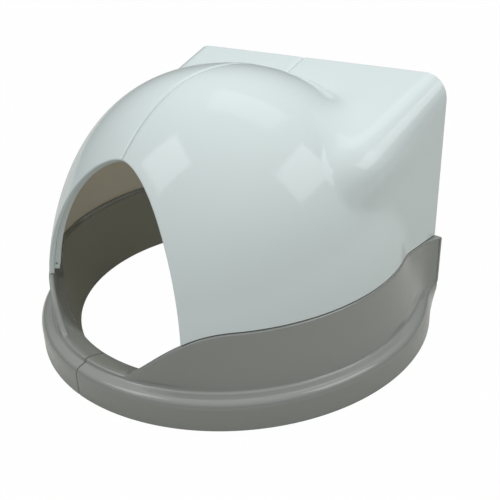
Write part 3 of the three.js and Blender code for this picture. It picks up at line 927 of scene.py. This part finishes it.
# %% [markdown]
# ## Floor and light
#
# The object stands on a plain white floor in front of white, which only the camera sees as white.
# A surround that is dim at the horizon and bright overhead gives gloss its long soft gradients.
# A window on the left, one on the right and a panel above add to it, at a plain level, so that
# each plastic renders about as its colour is written.

# %% Floor
FLOOR_HALF_WIDTH = 6
FLOOR_GLOW = 0.985  # what the floor shows the camera: nearly all glow, and a little shadow


def build_floor():
    bm = bmesh.new()
    bmesh.ops.create_grid(bm, x_segments=1, y_segments=1, size=FLOOR_HALF_WIDTH)
    mesh = bpy.data.meshes.new("floor")
    bm.to_mesh(mesh)
    bm.free()
    floor = bpy.data.objects.new("floor", mesh)
    floor.location.z = -0.001
    bpy.context.scene.collection.objects.link(floor)
    material = bpy.data.materials.new("floor_white")
    material.use_nodes = True
    nodes, links = material.node_tree.nodes, material.node_tree.links
    shader = nodes["Principled BSDF"]
    shader.inputs["Base Color"].default_value = (0.57, 0.56, 0.53, 1)
    shader.inputs["Roughness"].default_value = 0.9
    shader.inputs["Specular IOR Level"].default_value = 0
    glow = nodes.new("ShaderNodeEmission")
    glow.inputs["Color"].default_value = (1, 1, 1, 1)
    path = nodes.new("ShaderNodeLightPath")
    share = nodes.new("ShaderNodeMath")
    share.operation = "MULTIPLY"
    share.inputs[1].default_value = FLOOR_GLOW
    links.new(path.outputs["Is Camera Ray"], share.inputs[0])
    blend = nodes.new("ShaderNodeMixShader")
    links.new(share.outputs[0], blend.inputs["Fac"])
    links.new(shader.outputs["BSDF"], blend.inputs[1])
    links.new(glow.outputs["Emission"], blend.inputs[2])
    clear = nodes.new("ShaderNodeBsdfTransparent")
    facing = nodes.new("ShaderNodeNewGeometry")
    from_below = nodes.new("ShaderNodeMixShader")
    links.new(facing.outputs["Backfacing"], from_below.inputs["Fac"])
    links.new(blend.outputs["Shader"], from_below.inputs[1])
    links.new(clear.outputs["BSDF"], from_below.inputs[2])
    links.new(from_below.outputs["Shader"], nodes["Material Output"].inputs["Surface"])
    mesh.materials.append(material)
    print("floor", 2 * FLOOR_HALF_WIDTH, "m wide")
    return floor


build_floor()

# %% World
HORIZON_LEVEL, ZENITH_LEVEL = 0.17, 1.45
RISE_FROM, RISE_TO = 0.12, 1.1  # share of the way up between which the surround brightens


def build_world():
    world = bpy.data.worlds.new("studio")
    bpy.context.scene.world = world
    world.use_nodes = True
    nodes, links = world.node_tree.nodes, world.node_tree.links
    nodes.clear()
    output = nodes.new("ShaderNodeOutputWorld")
    room = nodes.new("ShaderNodeBackground")
    room.inputs["Color"].default_value = (0.97, 1.0, 1.0, 1)
    place = nodes.new("ShaderNodeTexCoord")
    height = nodes.new("ShaderNodeSeparateXYZ")
    links.new(place.outputs["Generated"], height.inputs["Vector"])
    level = nodes.new("ShaderNodeMapRange")
    level.interpolation_type = "SMOOTHSTEP"
    level.inputs["From Min"].default_value = RISE_FROM
    level.inputs["From Max"].default_value = RISE_TO
    level.inputs["To Min"].default_value = HORIZON_LEVEL
    level.inputs["To Max"].default_value = ZENITH_LEVEL
    links.new(height.outputs["Z"], level.inputs["Value"])
    links.new(level.outputs["Result"], room.inputs["Strength"])
    white = nodes.new("ShaderNodeBackground")
    white.inputs["Color"].default_value = (1, 1, 1, 1)
    white.inputs["Strength"].default_value = 1.0
    path = nodes.new("ShaderNodeLightPath")
    blend = nodes.new("ShaderNodeMixShader")
    links.new(path.outputs["Is Camera Ray"], blend.inputs["Fac"])
    links.new(room.outputs["Background"], blend.inputs[1])
    links.new(white.outputs["Background"], blend.inputs[2])
    links.new(blend.outputs["Shader"], output.inputs["Surface"])
    print("surround from", HORIZON_LEVEL, "at the horizon to", ZENITH_LEVEL, "overhead")
    return world


build_world()

# %% Lamps
def lamp(name, place, aim, width, height, power):
    light = bpy.data.lights.new(name, "AREA")
    light.shape = "RECTANGLE"
    light.size, light.size_y = width, height
    light.energy = power
    thing = bpy.data.objects.new(name, light)
    thing.location = place
    direction = Vector(aim) - Vector(place)
    thing.rotation_euler = direction.to_track_quat("-Z", "Y").to_euler()
    bpy.context.scene.collection.objects.link(thing)
    print("lamp", name, "at", place, "power", power)
    return thing


lamp("window", (-0.76, -1.2, 1.96), (0.05, -0.08, 0.24), 0.9, 0.85, 4.2)
lamp("side_window", (1.7, 0.7, 2.0), (0.19, 0.15, 0.26), 1.5, 1.0, 8)
lamp("top_panel", (-0.25, 0.75, 2.1), (0, 0, 0.1), 1.3, 0.8, 2.2)

# %% [markdown]
# ## Camera
#
# The camera looks down from the front right at a slight roll, at the distance where the
# perspective of the ring is right.

# %% Camera
CAMERA_PLACE = Vector((0.5299, -0.4637, 0.4507))
AZIMUTH, ELEVATION, ROLL_ANGLE = 44.289, 27.11, -3.148
SENSOR, LENS = 36, 47.177352  # both in millimetres


def build_camera():
    turn, lift, roll = (math.radians(a) for a in (AZIMUTH, ELEVATION, ROLL_ANGLE))
    level = math.cos(lift)
    back = Vector((math.sin(turn) * level, -math.cos(turn) * level, math.sin(lift)))
    right = (-back).cross(Vector((0, 0, 1))).normalized()
    up = right.cross(-back)
    across = right * math.cos(roll) + up * math.sin(roll)
    upright = up * math.cos(roll) - right * math.sin(roll)
    lens = bpy.data.cameras.new("camera")
    lens.sensor_width = SENSOR
    lens.lens = LENS
    lens.clip_start, lens.clip_end = 0.01, 50
    camera = bpy.data.objects.new("camera", lens)
    turned = Matrix((across, upright, back)).transposed()
    camera.matrix_world = Matrix.Translation(CAMERA_PLACE) @ turned.to_4x4()
    bpy.context.scene.collection.objects.link(camera)
    bpy.context.scene.camera = camera
    print("camera", round(CAMERA_PLACE.length, 3), "m from the origin, lens", round(LENS, 1), "mm")
    return camera


build_camera()
bpy.context.scene.view_settings.view_transform = "Standard"
